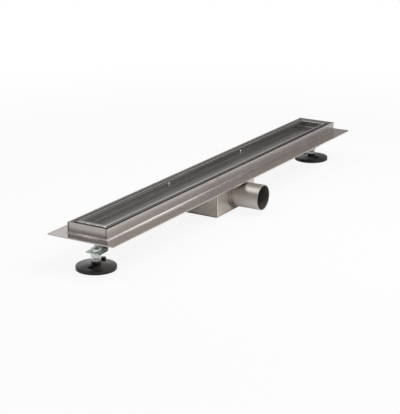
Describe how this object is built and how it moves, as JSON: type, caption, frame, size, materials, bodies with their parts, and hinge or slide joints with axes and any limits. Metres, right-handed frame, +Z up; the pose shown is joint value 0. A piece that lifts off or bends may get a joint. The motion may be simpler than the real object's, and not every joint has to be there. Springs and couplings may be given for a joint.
{
  "type": "linear channel drain",
  "caption": "Long shallow steel channel drain with a tile tray, flat sealing flange, trap box with side outlet pipe and height-adjustable feet.",
  "frame": {"origin": "middle of the tray's floor, on its upper face, where the tile is bedded", "axes": "+X along the channel, the outlet pipe points to -Y, +Z up out of the finished floor"},
  "size_m": [0.7354, 0.1378, 0.0672],
  "materials": {
    "stainless": "brushed",
    "zinc": "zinc plated",
    "siphon_plastic": "satin",
    "seal_rubber": "matte",
    "pad_black": "satin black"
  },
  "bodies": {
    "channel": {"gutter": "stainless", "end_plate_left": "stainless", "end_plate_right": "stainless", "flange": "stainless", "trap_box": "stainless", "outlet_pipe": "stainless", "tile_tray": "stainless", "siphon_tube": "siphon_plastic", "siphon_cup": "siphon_plastic", "siphon_seal": "seal_rubber", "tray_clip_left_back": "stainless", "tray_rivet_left_back": "stainless", "tray_clip_left_front": "stainless", "tray_rivet_left_front": "stainless", "tray_clip_right_back": "stainless", "tray_rivet_right_back": "stainless", "tray_clip_right_front": "stainless", "tray_rivet_right_front": "stainless", "bracket_left": "zinc", "bracket_right": "zinc"},
    "height_nut_left": {"height_nut_left": "zinc"},
    "lock_nut_left": {"lock_nut_left": "zinc"},
    "stud_left": {"stud_left": "zinc"},
    "pad_left": {"pad_left": "pad_black"},
    "height_nut_right": {"height_nut_right": "zinc"},
    "lock_nut_right": {"lock_nut_right": "zinc"},
    "stud_right": {"stud_right": "zinc"},
    "pad_right": {"pad_right": "pad_black"}
  },
  "joints": [
    {"name": "height_nut_left_turn", "type": "hinge", "parent": "channel", "child": "height_nut_left", "pos_m": [-0.3309, 0, -0.03695], "axis": [0, 0, 1], "range_deg": [-518.4, 864]},
    {"name": "lock_nut_left_turn", "type": "hinge", "parent": "channel", "child": "lock_nut_left", "pos_m": [-0.3309, 0, -0.02945], "axis": [0, 0, 1], "range_deg": [-518.4, 864]},
    {"name": "foot_left_height", "type": "slide", "parent": "channel", "child": "stud_left", "axis": [0, 0, -1], "range_m": [-0.0018, 0.003]},
    {"name": "pad_left_swivel", "type": "hinge", "parent": "stud_left", "child": "pad_left", "pos_m": [-0.3309, 0, -0.05], "axis": [0, 0, 1], "continuous": true},
    {"name": "height_nut_right_turn", "type": "hinge", "parent": "channel", "child": "height_nut_right", "pos_m": [0.3309, 0, -0.03695], "axis": [0, 0, 1], "range_deg": [-518.4, 864]},
    {"name": "lock_nut_right_turn", "type": "hinge", "parent": "channel", "child": "lock_nut_right", "pos_m": [0.3309, 0, -0.02945], "axis": [0, 0, 1], "range_deg": [-518.4, 864]},
    {"name": "foot_right_height", "type": "slide", "parent": "channel", "child": "stud_right", "axis": [0, 0, -1], "range_m": [-0.0018, 0.003]},
    {"name": "pad_right_swivel", "type": "hinge", "parent": "stud_right", "child": "pad_right", "pos_m": [0.3309, 0, -0.05], "axis": [0, 0, 1], "continuous": true}
  ],
  "couplings": [
    {"joint": "height_nut_left_turn", "follows": "foot_left_height", "rad_per_m": 5026.5},
    {"joint": "lock_nut_left_turn", "follows": "foot_left_height", "rad_per_m": 5026.5},
    {"joint": "height_nut_right_turn", "follows": "foot_right_height", "rad_per_m": 5026.5},
    {"joint": "lock_nut_right_turn", "follows": "foot_right_height", "rad_per_m": 5026.5}
  ]
}
